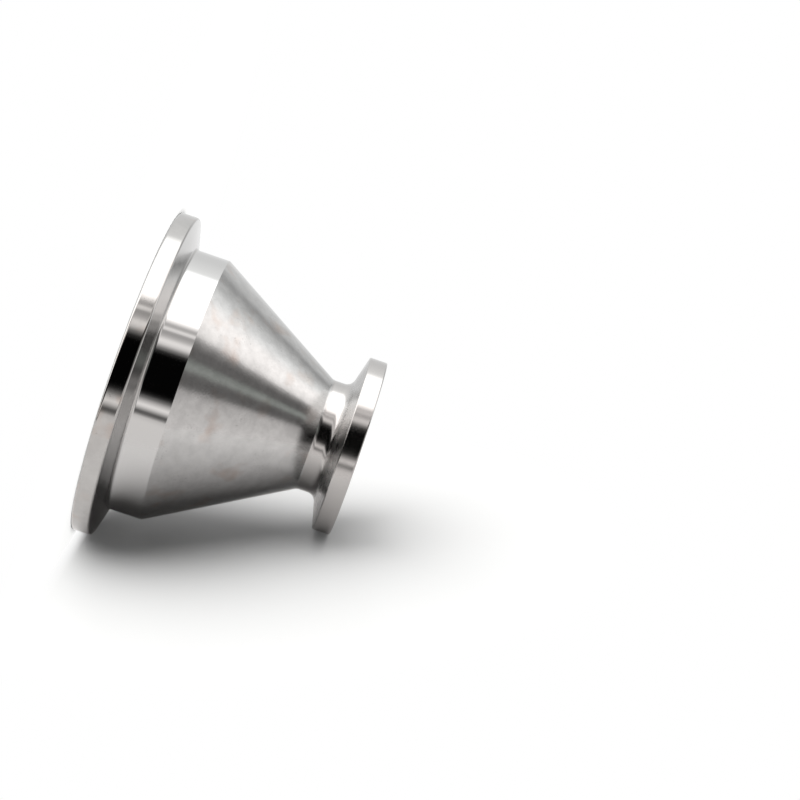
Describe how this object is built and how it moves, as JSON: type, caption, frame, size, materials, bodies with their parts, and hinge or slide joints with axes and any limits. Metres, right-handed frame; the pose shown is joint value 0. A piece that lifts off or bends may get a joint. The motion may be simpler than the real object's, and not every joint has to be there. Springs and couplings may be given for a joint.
{
  "type": "vacuum flange adapter",
  "caption": "Conical stainless steel reducer joining a large and a small clamp-type vacuum flange, with a straight collar, a short neck, tapered flange backs and a centring recess in each face.",
  "frame": {"origin": "centre of the large sealing face, on which the adapter stands", "axes": "+Z along the bore, from the large flange to the small one; any direction square to it may be X, because the part is round"},
  "size_m": [0.055, 0.055, 0.04],
  "materials": {
    "stainless_steel": "turned stainless steel: polished rims, collar and neck, satin cone and tapers"
  },
  "bodies": {
    "root": {"reducer_body": "stainless_steel"}
  },
  "joints": []
}
